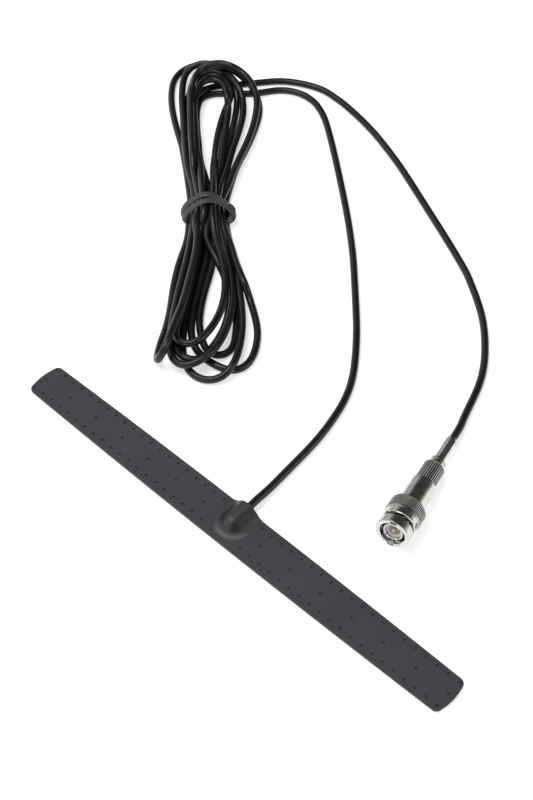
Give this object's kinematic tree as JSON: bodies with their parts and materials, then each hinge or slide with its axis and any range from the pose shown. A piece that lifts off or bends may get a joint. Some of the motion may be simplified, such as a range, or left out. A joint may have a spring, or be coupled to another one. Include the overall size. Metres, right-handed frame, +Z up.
{
  "type": "stick-on strip antenna",
  "caption": "Flat adhesive strip antenna for a two-way radio, with a moulded cable boss, a thin coaxial cable tied in a hank, and a bayonet plug.",
  "frame": {"origin": "middle of the strip's underside, the face of its adhesive tape", "axes": "+X along the strip, +Y across it to the side that the cable leaves, +Z up out of the strip's moulded face"},
  "size_m": [0.2951, 0.2137, 0.0152],
  "materials": {
    "cover_rubber": "matte",
    "film": "satin",
    "copper_foil": "satin",
    "foam_tape": "matte",
    "cable_jacket": "satin",
    "solder": "satin",
    "tie": "matte",
    "nickel": "polished",
    "seal_rubber": "matte",
    "insulator": "satin",
    "gold": "polished",
    "gasket": "matte",
    "spring_steel": "satin"
  },
  "bodies": {
    "antenna": {"antenna_cover": "cover_rubber", "antenna_film": "film", "live_arm": "copper_foil", "ground_arm": "copper_foil", "adhesive_tape": "foam_tape", "antenna_cable_end": "cable_jacket", "core_solder": "solder", "braid_solder": "solder", "cable_lead": "cable_jacket", "cable_hank": "cable_jacket", "cable_tail": "cable_jacket", "cable_tie": "tie", "plug_cable_end": "cable_jacket", "crimp_ferrule": "nickel", "crimp_stem": "nickel", "clamp_nut": "nickel", "cable_seal": "seal_rubber", "rear_barrel": "nickel", "plug_body": "nickel", "insulator": "insulator", "centre_pin": "gold", "face_gasket": "gasket", "wave_washer": "spring_steel"},
    "washer": {"thrust_washer": "nickel"},
    "coupling": {"retaining_ring": "spring_steel", "coupling_sleeve": "nickel"}
  },
  "joints": [
    {"name": "sleeve_slide", "type": "slide", "parent": "antenna", "child": "washer", "axis": [0.2473, -0.9633, 0.1045], "range_m": [0, 0.0009], "stiffness_N_per_m": 2000, "springref_m": -0.001, "deforming": ["wave_washer"]},
    {"name": "sleeve_turn", "type": "hinge", "parent": "washer", "child": "coupling", "pos_m": [0.0456, 0.04075, 0.00763], "axis": [0.2473, -0.9633, 0.1045], "continuous": true}
  ]
}
